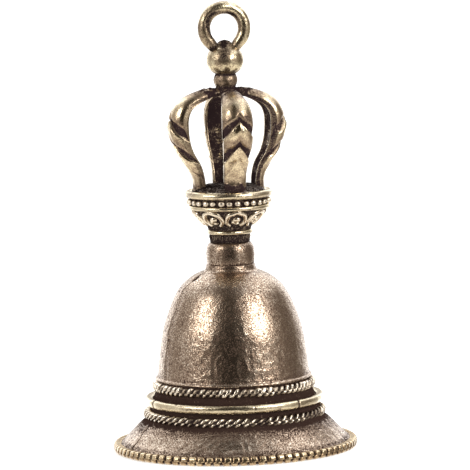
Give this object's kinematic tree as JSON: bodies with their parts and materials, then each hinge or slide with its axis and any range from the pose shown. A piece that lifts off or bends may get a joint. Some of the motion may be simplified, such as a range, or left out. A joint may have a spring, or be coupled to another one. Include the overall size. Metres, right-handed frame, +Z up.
{
  "type": "puja bell",
  "caption": "Small cast brass bell with a flared mouth, rope-pattern bands, a caged crown handle on a lotus cup, a hanging loop and a linked clapper.",
  "frame": {"origin": "centre of the mouth, on the plane of the rim that the bell stands on", "axes": "+Z up the bell's axis to the hanging loop, -Y towards the front prong, the loop lies in the XZ plane"},
  "size_m": [0.027, 0.027, 0.0495],
  "materials": {
    "bell_brass": "cast brass, browned, rubbed to a soft sheen",
    "rope_brass": "cast brass, dark in the grooves",
    "ring_brass": "polished brass",
    "cup_brass": "cast brass, dark in the recesses",
    "recess_brass": "blackened brass",
    "crown_brass": "cast brass, polished on the high parts",
    "finial_brass": "polished brass with worn patina",
    "hardware_brass": "dull brass",
    "clapper_brass": "dull brass"
  },
  "bodies": {
    "bell": {"bell_cup": "bell_brass", "rim_rope": "rope_brass", "lower_rope": "rope_brass", "waist_ring": "ring_brass", "upper_rope": "rope_brass", "shoulder_ring": "bell_brass", "neck_collar": "bell_brass", "lotus_cup": "cup_brass", "cup_foot_ring": "ring_brass", "cup_lower_ring": "ring_brass", "cup_rim_ring": "ring_brass", "lotus_petals": "cup_brass", "petal_bosses": "cup_brass", "cup_beads": "cup_brass", "crown_base": "recess_brass", "prong_front": "crown_brass", "prong_right": "crown_brass", "prong_back": "crown_brass", "prong_left": "crown_brass", "crown_hub": "crown_brass", "finial_ball": "finial_brass", "hanging_loop": "finial_brass", "handle_stud": "hardware_brass", "stud_washer": "hardware_brass", "stud_nut": "hardware_brass"},
    "link": {"clapper_link": "clapper_brass"},
    "clapper": {"clapper_rod": "clapper_brass", "clapper_ball": "clapper_brass"}
  },
  "joints": [
    {"name": "link_swing", "type": "hinge", "parent": "bell", "child": "link", "pos_m": [0, 0, 0.0151], "axis": [1, 0, 0], "range_deg": [-12, 12]},
    {"name": "clapper_swing", "type": "hinge", "parent": "link", "child": "clapper", "pos_m": [0, 0, 0.01347], "axis": [0, 1, 0], "range_deg": [-35, 35]}
  ]
}
